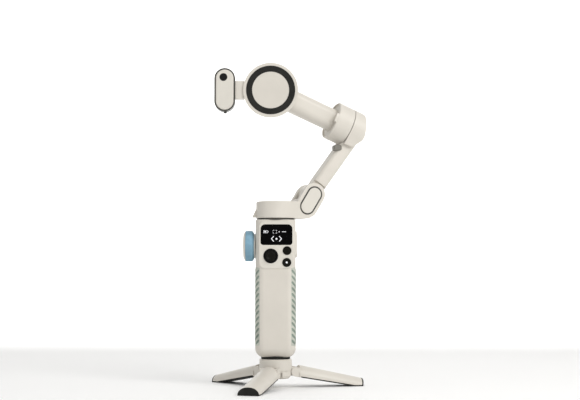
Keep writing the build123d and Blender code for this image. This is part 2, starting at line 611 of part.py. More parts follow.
with BuildPart() as pan_housing:
    # drum, drawn out in plan to the width of the hinge head
    with BuildSketch(Plane(origin=(0, 0, PAN_Z0), x_dir=u_dir, z_dir=(0, 0, 1))):
        Circle(PAN_R)
        with Locations((COVER_U, 0)):
            Rectangle(6, HEAD_T)
        make_hull()
    extrude(amount=PAN_Z1 - PAN_Z0)
    fillet(pan_housing.edges().group_by(Axis.Z)[-1], 1.4)
    # trim the far end to the curve of the head, seen from the side
    with BuildSketch(ARM_PLANE.offset(-HEAD_T)):
        with Locations((COVER_U + 10, (PAN_Z0 + PAN_Z1) / 2 - 6)):
            Rectangle(20, 30)
        with Locations((COVER_U, COVER_Z)):
            Circle(HEAD_R + 0.6, mode=Mode.SUBTRACT)
    extrude(amount=2 * HEAD_T, mode=Mode.SUBTRACT)
    # hinge head
    with BuildSketch(ARM_PLANE.offset(-HEAD_T / 2)):
        for centre in ((COVER_U, COVER_Z), (HINGE_U, HINGE_Z)):
            with Locations(centre):
                Circle(HEAD_R)
        make_hull()
    extrude(amount=HEAD_T)
    # slot between the ears, for the upper arm's knuckle
    with BuildSketch(ARM_PLANE.offset(-SLOT_T / 2)):
        with Locations((HINGE_U, HINGE_Z)):
            Circle(SLOT_R)
    extrude(amount=SLOT_T, mode=Mode.SUBTRACT)
    # parking clip, a moulded wedge at the left of the drum
    with BuildSketch(front_plane(2.5)):
        with BuildLine():
            Polyline(
                (-PAN_R - CLIP_REACH, PAN_Z0 + 1.6), (-PAN_R - CLIP_REACH + 0.7, PAN_Z0 + 0.9),
                (-PAN_R + 1.0, PAN_Z0 + 0.9),
                (-PAN_R + 1.0, PAN_Z0 + 9.4), (-PAN_R - 0.2, PAN_Z0 + 8.6), close=True,
            )
        make_face()
    extrude(amount=7.0)
    # motor cavity, open at the bottom
    with BuildSketch(Plane.XY.offset(PAN_Z0)):
        Circle(PAN_R - MOTOR_WALL)
    extrude(amount=PAN_Z1 - MOTOR_WALL - PAN_Z0, mode=Mode.SUBTRACT)
    # hinge pin bore
    with Locations(HINGE_PLANE):
        Cylinder(HINGE_PIN_R, HEAD_T + 2, mode=Mode.SUBTRACT)
    # recess of the hinge cover in the front face
    with BuildSketch(ARM_PLANE.offset(HEAD_T / 2 - 1.6)):
        for centre in ((COVER_U, COVER_Z), (HINGE_U, HINGE_Z)):
            with Locations(centre):
                Circle(COVER_R)
        make_hull()
    extrude(amount=3, mode=Mode.SUBTRACT)
    # flat land round the cover, cut into the flank of the drum
    with BuildSketch(ARM_PLANE.offset(HEAD_T / 2)):
        for centre in ((COVER_U, COVER_Z), (HINGE_U, HINGE_Z)):
            with Locations(centre):
                Circle(COVER_R + 0.7)
        make_hull()
    extrude(amount=8, mode=Mode.SUBTRACT)
pan_housing.part.label = "pan_housing"
export_step(pan_housing.part, "parts/pan_housing.step")


def cover_band(outer, inner, start, height):
    """A long rounded plate, or a ring when inner is above zero, round the head's two centres."""
    with BuildPart() as band:
        with BuildSketch(ARM_PLANE.offset(start)):
            for centre in ((COVER_U, COVER_Z), (HINGE_U, HINGE_Z)):
                with Locations(centre):
                    Circle(outer)
            make_hull()
        extrude(amount=height)
        if inner:
            with BuildSketch(ARM_PLANE.offset(start)):
                for centre in ((COVER_U, COVER_Z), (HINGE_U, HINGE_Z)):
                    with Locations(centre):
                        Circle(inner)
                make_hull()
            extrude(amount=height, mode=Mode.SUBTRACT)
    return band


hinge_cover_ring = cover_band(COVER_R, COVER_R - COVER_RING_W, HEAD_T / 2 - 1.6, 1.7)
hinge_cover_ring.part.label = "hinge_cover_ring"
export_step(hinge_cover_ring.part, "parts/hinge_cover_ring.step")

hinge_cover = cover_band(COVER_R - COVER_RING_W, 0, HEAD_T / 2 - 1.6, 2.0)
hinge_cover.part.label = "hinge_cover"
export_step(hinge_cover.part, "parts/hinge_cover.step")

with BuildPart() as hinge_pin:
    with BuildSketch(HINGE_PLANE.offset(-HEAD_T / 2)):
        Circle(HINGE_PIN_R)
    extrude(amount=HEAD_T - 1.6)
hinge_pin.part.label = "hinge_pin"
export_step(hinge_pin.part, "parts/hinge_pin.step")

# ---- Upper arm -----------------------------------------------------------------------------------------

bar_end = arm_point(HINGE_U, HINGE_Z) + arm_dir * (SHOULDER + ARM_L)
drum_back = seam_point - tilt_dir * (TILT_BASE_L - TILT_BACK_R) + TILT_PLANE.y_dir * (TILT_R - TILT_BACK_R)
drum_low = seam_point - tilt_dir * (TILT_BASE_L - TILT_BACK_R) - TILT_PLANE.y_dir * (TILT_R - TILT_BACK_R)

# side of the motor base: the arm's outer edge runs on round the back of the motor
with BuildPart() as motor_side:
    with BuildSketch(ARM_PLANE.offset(-TILT_R)):
        with Locations(tuple(ARM_PLANE.to_local_coords(bar_end))[:2]):
            Circle(ARM_W / 2)
        for corner in (drum_back, drum_low):
            with Locations(tuple(ARM_PLANE.to_local_coords(corner))[:2]):
                Circle(TILT_BACK_R)
        for edge_y in (-1, 1):
            seam_corner = seam_point + TILT_PLANE.y_dir * edge_y * (TILT_R - 0.1) - tilt_dir * SEAM_GAP
            with Locations(tuple(ARM_PLANE.to_local_coords(seam_corner))[:2]):
                Circle(0.1)
        make_hull()
    extrude(amount=2 * TILT_R)

# the same base along the motor's axis: the drum's circle drawn down to the width of the bar
with BuildPart() as motor_base:
    with BuildSketch(TILT_PLANE.offset(-SEAM_GAP / 2)):
        Circle(TILT_R)
        with Locations((0, -TILT_TAPER)):
            Rectangle(ARM_T - 2, 4)
        make_hull()
    extrude(amount=-2 * TILT_BASE_L)
    add(motor_side.part, mode=Mode.INTERSECT)

with BuildPart() as upper_arm:
    # bar with rounded edges
    with BuildSketch(ARM_BAR_PLANE.offset(SHOULDER)):
        RectangleRounded(ARM_T, ARM_W, 4.2)
    extrude(amount=ARM_L)
    # narrower root between the shoulder and the knuckle
    with BuildSketch(ARM_BAR_PLANE.offset(SHOULDER - 6)):
        RectangleRounded(KNUCKLE_T, ARM_W, 2.0)
    extrude(amount=8)
    # knuckle between the ears
    with BuildSketch(HINGE_PLANE.offset(-KNUCKLE_T / 2)):
        Circle(KNUCKLE_R)
    extrude(amount=KNUCKLE_T)
    with Locations(HINGE_PLANE):
        Cylinder(HINGE_PIN_R + RUNNING_GAP, KNUCKLE_T + 2, mode=Mode.SUBTRACT)
    add(motor_base.part)
    # the bar stands clear of the drum in front of the seam
    with BuildSketch(TILT_PLANE.offset(-SEAM_GAP / 2)):
        Circle(TILT_R + 0.5)
    extrude(amount=TILT_DRUM_L, mode=Mode.SUBTRACT)
    with BuildSketch(TILT_PLANE.offset(-TILT_BASE_L + 2.4)):
        Circle(TILT_R - MOTOR_WALL)
    extrude(amount=TILT_BASE_L, mode=Mode.SUBTRACT)
upper_arm.part.label = "upper_arm"
export_step(upper_arm.part, "parts/upper_arm.step")

# catch at the arm's inner edge, below the drum
with BuildPart() as tilt_stop:
    with BuildSketch(ARM_PLANE.offset(ARM_T / 2 - 5)):
        with Locations((STOP_U, STOP_Z)):
            RectangleRounded(8.4, 6.0, 2.4)
    extrude(amount=6.4)
    fillet(tilt_stop.faces().sort_by(Axis((0, 0, 0), tuple(n_dir)))[-1].edges(), 0.8)
    add(upper_arm.part, mode=Mode.SUBTRACT)
tilt_stop.part.label = "tilt_stop"
export_step(tilt_stop.part, "parts/tilt_stop.step")

# ---- Tilt drum and roll arm ----------------------------------------------------------------------------

with BuildPart() as tilt_housing:
    with BuildSketch(TILT_PLANE.offset(SEAM_GAP / 2)):
        Circle(TILT_R)
    extrude(amount=TILT_DRUM_L - SEAM_GAP / 2)
    far_rim = tilt_housing.edges().filter_by(GeomType.CIRCLE).sort_by(Axis((0, 0, 0), tuple(tilt_dir)))[-1]
    fillet(far_rim, 1.2)
    with BuildSketch(TILT_PLANE.offset(SEAM_GAP / 2)):
        Circle(TILT_R - MOTOR_WALL)
    extrude(amount=TILT_DRUM_L - 2.8 - SEAM_GAP / 2, mode=Mode.SUBTRACT)
    # shallow recess in the end face, open where the arm leaves
    with BuildSketch(TILT_PLANE.offset(TILT_DRUM_L - 1.2)):
        Circle(TILT_R - 2.0)
    extrude(amount=2, mode=Mode.SUBTRACT)
    # tooth on the rim, on the user's side
    with BuildSketch(TILT_PLANE.offset(TILT_DRUM_L - 1.4)):
        Circle(TILT_R - 0.2)
        Circle(TILT_R - 2.0, mode=Mode.SUBTRACT)
        with Locations((TILT_R, 0)):
            Rectangle(10, TOOTH_W, mode=Mode.INTERSECT)
    extrude(amount=TOOTH_L)
tilt_housing.part.label = "tilt_housing"
export_step(tilt_housing.part, "parts/tilt_housing.step")

with BuildPart() as roll_arm:
    with BuildSketch(TILT_PLANE.offset(TILT_DRUM_L - 1.2)):
        RectangleRounded(TUBE_H, TUBE_W, 8)
    extrude(amount=ROLL_ALONG - TILT_DRUM_L + 1.2)
    with BuildSketch(ROLL_PLANE.offset(-ROLL_BACK)):
        Circle(ROLL_R)
    extrude(amount=ROLL_BACK + ROLL_FRONT)
    # nothing stands in front of the roll seam
    with BuildSketch(ROLL_PLANE.offset(ROLL_FRONT)):
        Circle(70)
    extrude(amount=30, mode=Mode.SUBTRACT)
    with BuildSketch(TILT_PLANE.offset(TILT_DRUM_L - 1.2)):
        RectangleRounded(TUBE_H - 2 * TUBE_WALL, TUBE_W - 2 * TUBE_WALL, 6)
    extrude(amount=ROLL_ALONG - TILT_DRUM_L - 10, mode=Mode.SUBTRACT)
    with BuildSketch(ROLL_PLANE.offset(-ROLL_BACK)):
        Circle(ROLL_R - 2.0)
    extrude(amount=ROLL_BACK + ROLL_FRONT, mode=Mode.SUBTRACT)
roll_arm.part.label = "roll_arm"
export_step(roll_arm.part, "parts/roll_arm.step")

with BuildPart() as roll_rear_cover:
    with BuildSketch(ROLL_PLANE.offset(-ROLL_BACK)):
        Circle(ROLL_R - 2.0)
    extrude(amount=2.4)
roll_rear_cover.part.label = "roll_rear_cover"
export_step(roll_rear_cover.part, "parts/roll_rear_cover.step")

# ---- Phone holder --------------------------------------------------------------------------------------

with BuildPart() as holder_plate:
    with BuildSketch(HOLDER_PLANE):
        Circle(HOLDER_R)
    extrude(amount=HOLDER_T)
    fillet(holder_plate.edges().filter_by(GeomType.CIRCLE).sort_by(Axis.Y)[-1], 1.2)
    with BuildSketch(HOLDER_PLANE.offset(HOLDER_T - 2.6)):
        Circle(PAD_R1)
        Circle(PAD_R0, mode=Mode.SUBTRACT)
    extrude(amount=4, mode=Mode.SUBTRACT)
holder_plate.part.label = "holder_plate"
export_step(holder_plate.part, "parts/holder_plate.step")

with BuildPart() as holder_magnets:
    with BuildSketch(HOLDER_PLANE.offset(HOLDER_T - 2.6)):
        with PolarLocations((PAD_R0 + PAD_R1) / 2, 16):
            Rectangle(5.0, 7.0)
    extrude(amount=1.8)
holder_magnets.part.label = "holder_magnets"
export_step(holder_magnets.part, "parts/holder_magnets.step")

with BuildPart() as holder_pad:
    with BuildSketch(HOLDER_PLANE.offset(HOLDER_T - 0.8)):
        Circle(PAD_R1)
        Circle(PAD_R0, mode=Mode.SUBTRACT)
    extrude(amount=1.0)
holder_pad.part.label = "holder_pad"
export_step(holder_pad.part, "parts/holder_pad.step")

with BuildPart() as tracker_bracket:
    bracket_x1 = roll_point.X - HOLDER_R + 1.0
    with BuildSketch(front_plane(TRACK_FACE_Y + 2.0)):
        with Locations(((TRACK_EDGE_X + bracket_x1) / 2 + 0.1, TRACK_Z)):
            Rectangle(bracket_x1 - TRACK_EDGE_X - 0.2, BRACKET_H)
    extrude(amount=-(TRACK_T - 4.0))
    with BuildSketch(ROLL_PLANE.offset(-30)):
        Circle(HOLDER_R)
    extrude(amount=60, mode=Mode.SUBTRACT)
tracker_bracket.part.label = "tracker_bracket"
export_step(tracker_bracket.part, "parts/tracker_bracket.step")

# ---- Tracking module -----------------------------------------------------------------------------------


def capsule(inset):
    """Upright capsule outline of the tracking module, drawn in by inset."""
    with Locations((TRACK_X, TRACK_Z)):
        SlotOverall(TRACK_H - 2 * inset, TRACK_W - 2 * inset, rotation=90)


with BuildPart() as tracker_back_shell:
    with BuildSketch(front_plane(TRACK_FACE_Y + TRACK_T)):
        capsule(0)
    extrude(amount=TRACK_T - 0.6)
    fillet(tracker_back_shell.faces().sort_by(Axis.Y)[-1].edges(), 2.0)
    with BuildSketch(front_plane(TRACK_FACE_Y + TRACK_T - 1.8)):
        capsule(TRACK_RIM)
    extrude(amount=TRACK_T, mode=Mode.SUBTRACT)
    # small release nub below
    with BuildSketch(Plane.XY.offset(TRACK_Z - TRACK_H / 2 - 1.6)):
        with Locations((TRACK_X + 0.6, TRACK_FACE_Y + 5.0)):
            Circle(1.5)
    extrude(amount=2.4)
tracker_back_shell.part.label = "tracker_back_shell"
export_step(tracker_back_shell.part, "parts/tracker_back_shell.step")

with BuildPart() as tracker_front_shell:
    with BuildSketch(front_plane(TRACK_FACE_Y + 4.0)):
        capsule(TRACK_RIM)
    extrude(amount=4.0)
    fillet(tracker_front_shell.faces().sort_by(Axis.Y)[0].edges(), 1.2)
    with BuildSketch(front_plane(TRACK_FACE_Y + 4.0)):
        capsule(TRACK_RIM + 1.4)
    extrude(amount=2.4, mode=Mode.SUBTRACT)
    with BuildSketch(front_plane(TRACK_FACE_Y + 4.0)):
        with Locations((LENS_X, LENS_Z)):
            Circle(LENS_R)
    extrude(amount=6, mode=Mode.SUBTRACT)
tracker_front_shell.part.label = "tracker_front_shell"
export_step(tracker_front_shell.part, "parts/tracker_front_shell.step")

with BuildPart() as tracker_lens:
    with BuildSketch(front_plane(TRACK_FACE_Y + 3.0)):
        with Locations((LENS_X, LENS_Z)):
            Circle(LENS_R)
    extrude(amount=3.2)
tracker_lens.part.label = "tracker_lens"
export_step(tracker_lens.part, "parts/tracker_lens.step")

with BuildPart() as tracker_board:
    with BuildSketch(front_plane(TRACK_FACE_Y + 6.0)):
        capsule(TRACK_RIM + 1.6)
    extrude(amount=1.2)
    with BuildSketch(front_plane(TRACK_FACE_Y + 4.8)):
        with Locations((LENS_X, LENS_Z)):
            Rectangle(6, 6)
    extrude(amount=1.7)
tracker_board.part.label = "tracker_board"
export_step(tracker_board.part, "parts/tracker_board.step")

with BuildPart() as tracker_magnets:
    with BuildSketch(side_plane(TRACK_EDGE_X - TRACK_RIM - 2.2)):
        with Locations((TRACK_FACE_Y + 8.2, TRACK_Z - 5), (TRACK_FACE_Y + 8.2, TRACK_Z + 5)):
            Circle(1.8)
    extrude(amount=2.0)
tracker_magnets.part.label = "tracker_magnets"
export_step(tracker_magnets.part, "parts/tracker_magnets.step")

# ---- Tripod ----------------------------------------------------------------------------------------------

with BuildPart() as neck_ring:
    with BuildSketch(Plane.XY.offset(HUB_Z1)):
        Circle(NECK_R)
        Circle(3.3, mode=Mode.SUBTRACT)
    extrude(amount=HANDLE_Z0 - HUB_Z1)
neck_ring.part.label = "neck_ring"
export_step(neck_ring.part, "parts/neck_ring.step")

with BuildPart() as tripod_screw:
    with BuildSketch(Plane.XY.offset(HUB_Z1 - 6)):
        Circle(SCREW_HEAD_R)
    extrude(amount=3)
    with BuildSketch(Plane.XY.offset(HUB_Z1 - 3)):
        Circle(SCREW_THREAD_R)
    extrude(amount=14)
tripod_screw.part.label = "tripod_screw"
export_step(tripod_screw.part, "parts/tripod_screw.step")

with BuildPart() as socket_insert:
    with BuildSketch(Plane.XY.offset(HANDLE_Z0)):
        Circle(INSERT_R)
        Circle(SCREW_THREAD_R, mode=Mode.SUBTRACT)
    extrude(amount=INSERT_L)
socket_insert.part.label = "socket_insert"
export_step(socket_insert.part, "parts/socket_insert.step")

with BuildPart() as tripod_hub:
    with BuildSketch(Plane.XZ):
        with BuildLine():
            Polyline(
                (0, HUB_Z0), (HUB_R0 - 3, HUB_Z0), (HUB_R0 - 1, HUB_Z0 + 1), (HUB_R0, HUB_Z0 + 3),
                (HUB_R0 - 0.3, HUB_SEAM_Z), (HUB_R0 - 0.8, HUB_SEAM_Z), (HUB_R0 - 0.8, HUB_SEAM_Z + 0.4),
                (HUB_R0 - 0.3, HUB_SEAM_Z + 0.4), (HUB_R1 + 0.1, HUB_Z1 - 0.8), (HUB_R1 - 0.8, HUB_Z1),
                (0, HUB_Z1), close=True,
            )
        make_face()
    revolve(axis=Axis.Z)
    # well for the screw's head, which is moulded in
    with BuildSketch(Plane.XY.offset(HUB_Z1 - 6)):
        Circle(SCREW_HEAD_R)
    extrude(amount=3, mode=Mode.SUBTRACT)
    with BuildSketch(Plane.XY.offset(HUB_Z1 - 3)):
        Circle(3.3)
    extrude(amount=4, mode=Mode.SUBTRACT)
    for leg_angle in LEG_ANGLES.values():
        leg_x = Vector(*polar(leg_angle, 1))
        leg_side = Plane(origin=(0, 0, 0), x_dir=leg_x, z_dir=leg_x.cross(up))
        # room for the leg's root to turn
        with BuildSketch(leg_side.offset(-LEG_W / 2 - 0.5)):
            with Locations((LEG_PIVOT_R, LEG_PIVOT_Z)):
                Circle(LEG_EAR_R + 0.5)
                Rectangle(14.6, 14, align=(Align.CENTER, Align.MAX))
        extrude(amount=LEG_W + 1.0, mode=Mode.SUBTRACT)
    for leg_angle in LEG_ANGLES.values():
        leg_x = Vector(*polar(leg_angle, 1))
        leg_side = Plane(origin=(0, 0, 0), x_dir=leg_x, z_dir=leg_x.cross(up))
        # lug that carries the leg's pin
        with BuildSketch(leg_side.offset(-LEG_LUG_W / 2)):
            with Locations((LEG_PIVOT_R, LEG_PIVOT_Z)):
                Circle(3.8)
            with Locations(((LEG_PIVOT_R + 10) / 2, LEG_PIVOT_Z)):
                Rectangle(LEG_PIVOT_R - 10, 7.6)
            with Locations((LEG_PIVOT_R, LEG_PIVOT_Z)):
                Circle(LEG_PIN_R, mode=Mode.SUBTRACT)
        extrude(amount=LEG_LUG_W)
tripod_hub.part.label = "tripod_hub"
export_step(tripod_hub.part, "parts/tripod_hub.step")

with BuildPart() as leg_pins:
    for leg_angle in LEG_ANGLES.values():
        leg_x = Vector(*polar(leg_angle, 1))
        pin_centre = leg_x * LEG_PIVOT_R + up * LEG_PIVOT_Z
        pin_plane = Plane(origin=pin_centre, x_dir=leg_x, z_dir=leg_x.cross(up))
        pin_half = LEG_LUG_W / 2 + LEG_EAR_T - LEG_PIN_SKIN
        with BuildSketch(pin_plane.offset(-pin_half)):
            Circle(LEG_PIN_R)
        extrude(amount=2 * pin_half)
leg_pins.part.label = "leg_pins"
export_step(leg_pins.part, "parts/leg_pins.step")


def leg_frame(leg_angle):
    """The leg's own plane: origin at its pin, X along the leg and sloping down, Z across the leg."""
    leg_x = Vector(*polar(leg_angle, 1))
    slope = radians(LEG_SLOPE)
    along = leg_x * cos(slope) - up * sin(slope)
    return Plane(origin=leg_x * LEG_PIVOT_R + up * LEG_PIVOT_Z, x_dir=along, z_dir=leg_x.cross(up))


def leg_section(frame, along, height):
    """D-shaped section across the leg: flat below, arched above."""
    section_plane = Plane(
        origin=frame.origin + frame.x_dir * along, x_dir=frame.z_dir, z_dir=frame.x_dir,
    )
    half = LEG_W / 2
    low = LEG_UNDER - SOLE_T
    with BuildSketch(section_plane) as section:
        with BuildLine():
            Line((-half, low), (half, low))
            Line((half, low), (half, low - 1.6))
            Spline(
                (half, low - 1.6), (half * 0.72, low - height * 0.74), (0, low - height),
                (-half * 0.72, low - height * 0.74), (-half, low - 1.6),
            )
            Line((-half, low - 1.6), (-half, low))
        make_face()
    return section


def build_leg(leg_angle):
    """One leg: an arched bar with two ears that straddle the hub's lug."""
    frame = leg_frame(leg_angle)
    with BuildPart() as leg:
        root = leg_section(frame, LEG_START, LEG_H0 - SOLE_T)
        tip = leg_section(frame, LEG_REACH - 1.4, LEG_H1 - SOLE_T)
        loft([root.sketch.faces()[0], tip.sketch.faces()[0]])
        # the flat patch on the floor
        with BuildSketch(Plane.XY.offset(SOLE_T)):
            Rectangle(400, 400)
        extrude(amount=-30, mode=Mode.SUBTRACT)
        for side in (-1, 1):
            with BuildSketch(frame.offset(side * (LEG_LUG_W / 2 + 0.2))):
                Circle(LEG_EAR_R)
                with Locations((LEG_START / 2 + 1, 0)):
                    Rectangle(LEG_START + 2, 2 * LEG_EAR_R)
            extrude(amount=side * (LEG_EAR_T - 0.2))
            with BuildSketch(frame.offset(side * (LEG_LUG_W / 2 + 0.2))):
                Circle(LEG_PIN_R + RUNNING_GAP)
            extrude(amount=side * (LEG_EAR_T - 0.2 - LEG_PIN_SKIN), mode=Mode.SUBTRACT)
    return leg


def build_sole(leg_angle):
    """Rubber sole under the leg, turned up over its cut end."""
    frame = leg_frame(leg_angle)
    low = LEG_UNDER - SOLE_T
    with BuildPart() as sole:
        with BuildSketch(frame.offset(-LEG_W / 2 + 0.3)):
            with Locations(((LEG_START + 3 + LEG_REACH) / 2, -(low + SOLE_T / 2))):
                Rectangle(LEG_REACH - LEG_START - 3, SOLE_T)
        extrude(amount=LEG_W - 0.6)
        end = leg_section(frame, LEG_REACH - 1.4, LEG_H1 - SOLE_T)
        extrude(end.sketch, amount=1.4)
        with BuildSketch(Plane.XY):
            Rectangle(400, 400)
        extrude(amount=-30, mode=Mode.SUBTRACT)
    return sole


for leg_name, leg_angle in LEG_ANGLES.items():
    leg_bar = build_leg(leg_angle)
    leg_bar.part.label = f"leg_{leg_name}"
    export_step(leg_bar.part, f"parts/leg_{leg_name}.step")
    leg_sole = build_sole(leg_angle)
    leg_sole.part.label = f"sole_{leg_name}"
    export_step(leg_sole.part, f"parts/sole_{leg_name}.step")
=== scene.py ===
import json
from math import cos, pi, radians, sin, sqrt

import bmesh
import bpy
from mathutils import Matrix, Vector


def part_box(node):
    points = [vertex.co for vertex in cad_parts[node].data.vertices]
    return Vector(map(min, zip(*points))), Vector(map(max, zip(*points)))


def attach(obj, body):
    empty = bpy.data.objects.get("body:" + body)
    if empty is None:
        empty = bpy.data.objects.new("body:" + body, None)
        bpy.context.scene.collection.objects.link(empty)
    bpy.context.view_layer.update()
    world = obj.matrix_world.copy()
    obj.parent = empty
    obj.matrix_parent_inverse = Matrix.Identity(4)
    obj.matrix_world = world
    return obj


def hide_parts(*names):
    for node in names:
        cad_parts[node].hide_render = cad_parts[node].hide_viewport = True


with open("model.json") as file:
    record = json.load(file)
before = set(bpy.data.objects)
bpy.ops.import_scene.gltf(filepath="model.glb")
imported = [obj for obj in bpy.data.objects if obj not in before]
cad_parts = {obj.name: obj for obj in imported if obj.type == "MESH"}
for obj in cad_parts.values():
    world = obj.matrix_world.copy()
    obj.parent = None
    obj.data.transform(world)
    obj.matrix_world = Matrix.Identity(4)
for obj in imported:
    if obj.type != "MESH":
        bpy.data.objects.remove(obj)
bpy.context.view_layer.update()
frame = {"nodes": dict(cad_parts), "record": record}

MM = 0.001
NODES = frame["nodes"]


# ---- Materials ---------------------------------------------------------------------------------------

def new_material(name):
    """A new node material, with its tree and its shader."""
    material = bpy.data.materials.new(name)
    material.use_nodes = True
    tree = material.node_tree
    shader = tree.nodes["Principled BSDF"]
    return material, tree, shader


def add_noise(tree, scale, detail=3.0, rough=0.5):
    """Noise in object coordinates, which are the frame's own metres."""
    coordinates = tree.nodes.new("ShaderNodeTexCoord")
    noise = tree.nodes.new("ShaderNodeTexNoise")
    noise.inputs["Scale"].default_value = scale
    noise.inputs["Detail"].default_value = detail
    noise.inputs["Roughness"].default_value = rough
    tree.links.new(coordinates.outputs["Object"], noise.inputs["Vector"])
    return noise


def colour_between(tree, factor, low, high, start=0.35, stop=0.65):
    """A colour ramp from low to high over the middle of a texture's range."""
    ramp = tree.nodes.new("ShaderNodeValToRGB")
    ramp.color_ramp.elements[0].position = start
    ramp.color_ramp.elements[0].color = (*low, 1)
    ramp.color_ramp.elements[1].position = stop
    ramp.color_ramp.elements[1].color = (*high, 1)
    tree.links.new(factor, ramp.inputs["Fac"])
    return ramp.outputs["Color"]


def add_bump(tree, shader, height, strength, distance):
    """A bump of the given height texture on the shader's normal."""
    bump = tree.nodes.new("ShaderNodeBump")
    bump.inputs["Strength"].default_value = strength
    bump.inputs["Distance"].default_value = distance
    tree.links.new(height, bump.inputs["Height"])
    tree.links.new(bump.outputs["Normal"], shader.inputs["Normal"])


EDGE_FLAT, EDGE_SHARP = 0.52, 0.66


def worn_edges(tree, colour, worn, amount):
    """The colour, a little towards worn along convex edges."""
    geometry = tree.nodes.new("ShaderNodeNewGeometry")
    edge = tree.nodes.new("ShaderNodeMapRange")
    edge.inputs["From Min"].default_value = EDGE_FLAT
    edge.inputs["From Max"].default_value = EDGE_SHARP
    edge.inputs["To Max"].default_value = amount
    mix = tree.nodes.new("ShaderNodeMix")
    mix.data_type = "RGBA"
    mix.inputs["B"].default_value = (*worn, 1)
    tree.links.new(geometry.outputs["Pointiness"], edge.inputs["Value"])
    tree.links.new(edge.outputs["Result"], mix.inputs["Factor"])
    tree.links.new(colour, mix.inputs["A"])
    return mix.outputs["Result"]


DRIFT_SCALE, GLOSS_SCALE, GRAIN_SCALE, GRAIN_DEPTH = 38.0, 120.0, 2600.0, 0.00005
GLOSS_SPREAD, WEAR_SHARE = 0.05, 0.5


def moulded_plastic(name, colour, roughness=0.42, grain=0.16, spread=0.03, shine=0.42):
    """Moulded plastic: slight colour drift, spark-eroded grain and a softer or glossier skin."""
    material, tree, shader = new_material(name)
    drift = add_noise(tree, DRIFT_SCALE, 4.0)
    low = tuple(c * (1 - spread) for c in colour)
    high = tuple(min(1.0, c * (1 + spread)) for c in colour)
    base = colour_between(tree, drift.outputs["Fac"], low, high)
    base = worn_edges(tree, base, tuple(min(1.0, c * 1.08 + 0.01) for c in colour), WEAR_SHARE)
    tree.links.new(base, shader.inputs["Base Color"])
    gloss = tree.nodes.new("ShaderNodeMapRange")
    gloss.inputs["To Min"].default_value = roughness - GLOSS_SPREAD
    gloss.inputs["To Max"].default_value = roughness + GLOSS_SPREAD
    tree.links.new(add_noise(tree, GLOSS_SCALE).outputs["Fac"], gloss.inputs["Value"])
    tree.links.new(gloss.outputs["Result"], shader.inputs["Roughness"])
    shader.inputs["Specular IOR Level"].default_value = shine
    add_bump(tree, shader, add_noise(tree, GRAIN_SCALE, 2.0).outputs["Fac"], grain, GRAIN_DEPTH)
    return material


DUST_SCALE, RUBBER_SCALE, RUBBER_DEPTH = 90.0, 1500.0, 0.00006


def soft_rubber(name, colour, roughness=0.72, grain=0.35):
    """Silicone or rubber: dusty, with a broad sheen."""
    material, tree, shader = new_material(name)
    dust = add_noise(tree, DUST_SCALE, 5.0)
    low = tuple(c * 0.85 for c in colour)
    high = tuple(min(1.0, c * 1.12 + 0.004) for c in colour)
    base = colour_between(tree, dust.outputs["Fac"], low, high)
    tree.links.new(base, shader.inputs["Base Color"])
    shader.inputs["Roughness"].default_value = roughness
    shader.inputs["Specular IOR Level"].default_value = 0.3
    shader.inputs["Sheen Weight"].default_value = 0.03
    shader.inputs["Sheen Roughness"].default_value = 0.4
    add_bump(tree, shader, add_noise(tree, RUBBER_SCALE, 3.0).outputs["Fac"], grain, RUBBER_DEPTH)
    return material


MARK_SCALE, MARK_BUMP, MARK_DEPTH = 160.0, 0.12, 0.00004


def turned_metal(name, colour, roughness=0.28, stretch=(1, 1, 60)):
    """Bare metal with fine tool marks."""
    material, tree, shader = new_material(name)
    coordinates = tree.nodes.new("ShaderNodeTexCoord")
    mapping = tree.nodes.new("ShaderNodeMapping")
    mapping.inputs["Scale"].default_value = stretch
    marks = tree.nodes.new("ShaderNodeTexNoise")
    marks.inputs["Scale"].default_value = MARK_SCALE
    tree.links.new(coordinates.outputs["Object"], mapping.inputs["Vector"])
    tree.links.new(mapping.outputs["Vector"], marks.inputs["Vector"])
    low = tuple(c * 0.85 for c in colour)
    high = tuple(min(1.0, c * 1.1) for c in colour)
    base = colour_between(tree, marks.outputs["Fac"], low, high)
    tree.links.new(base, shader.inputs["Base Color"])
    shader.inputs["Metallic"].default_value = 1.0
    shader.inputs["Roughness"].default_value = roughness
    add_bump(tree, shader, marks.outputs["Fac"], MARK_BUMP, MARK_DEPTH)
    return material


GLASS_DARK, GLASS_SMEARED = (0.0012, 0.0012, 0.0014), (0.003, 0.003, 0.0034)


def dark_glass(name):
    """Black display glass with a few faint smears."""
    material, tree, shader = new_material(name)
    smear = add_noise(tree, 60.0, 6.0, 0.7)
    base = colour_between(tree, smear.outputs["Fac"], GLASS_DARK, GLASS_SMEARED)
    tree.links.new(base, shader.inputs["Base Color"])
    shine = tree.nodes.new("ShaderNodeMapRange")
    shine.inputs["To Min"].default_value = 0.05
    shine.inputs["To Max"].default_value = 0.16
    tree.links.new(smear.outputs["Fac"], shine.inputs["Value"])
    tree.links.new(shine.outputs["Result"], shader.inputs["Roughness"])
    shader.inputs["Specular IOR Level"].default_value = 0.03
    return material


def lit_mark(name, colour, strength):
    """A glowing mark, a little uneven as on a small display: lit from behind on the display, and a painted
    glow on the record button's printed dot.
    """
    material, tree, shader = new_material(name)
    cell = add_noise(tree, 900.0, 2.0)
    tint = colour_between(tree, cell.outputs["Fac"], tuple(c * 0.85 for c in colour), colour)
    tree.links.new(tint, shader.inputs["Base Color"])
    tree.links.new(tint, shader.inputs["Emission Color"])
    shader.inputs["Emission Strength"].default_value = strength
    return material


CREAM = (0.640, 0.606, 0.546)
CREAM_COVER = (0.655, 0.626, 0.566)
BLACK = (0.006, 0.006, 0.006)
WARM_BLACK = (0.0060, 0.0056, 0.0040)

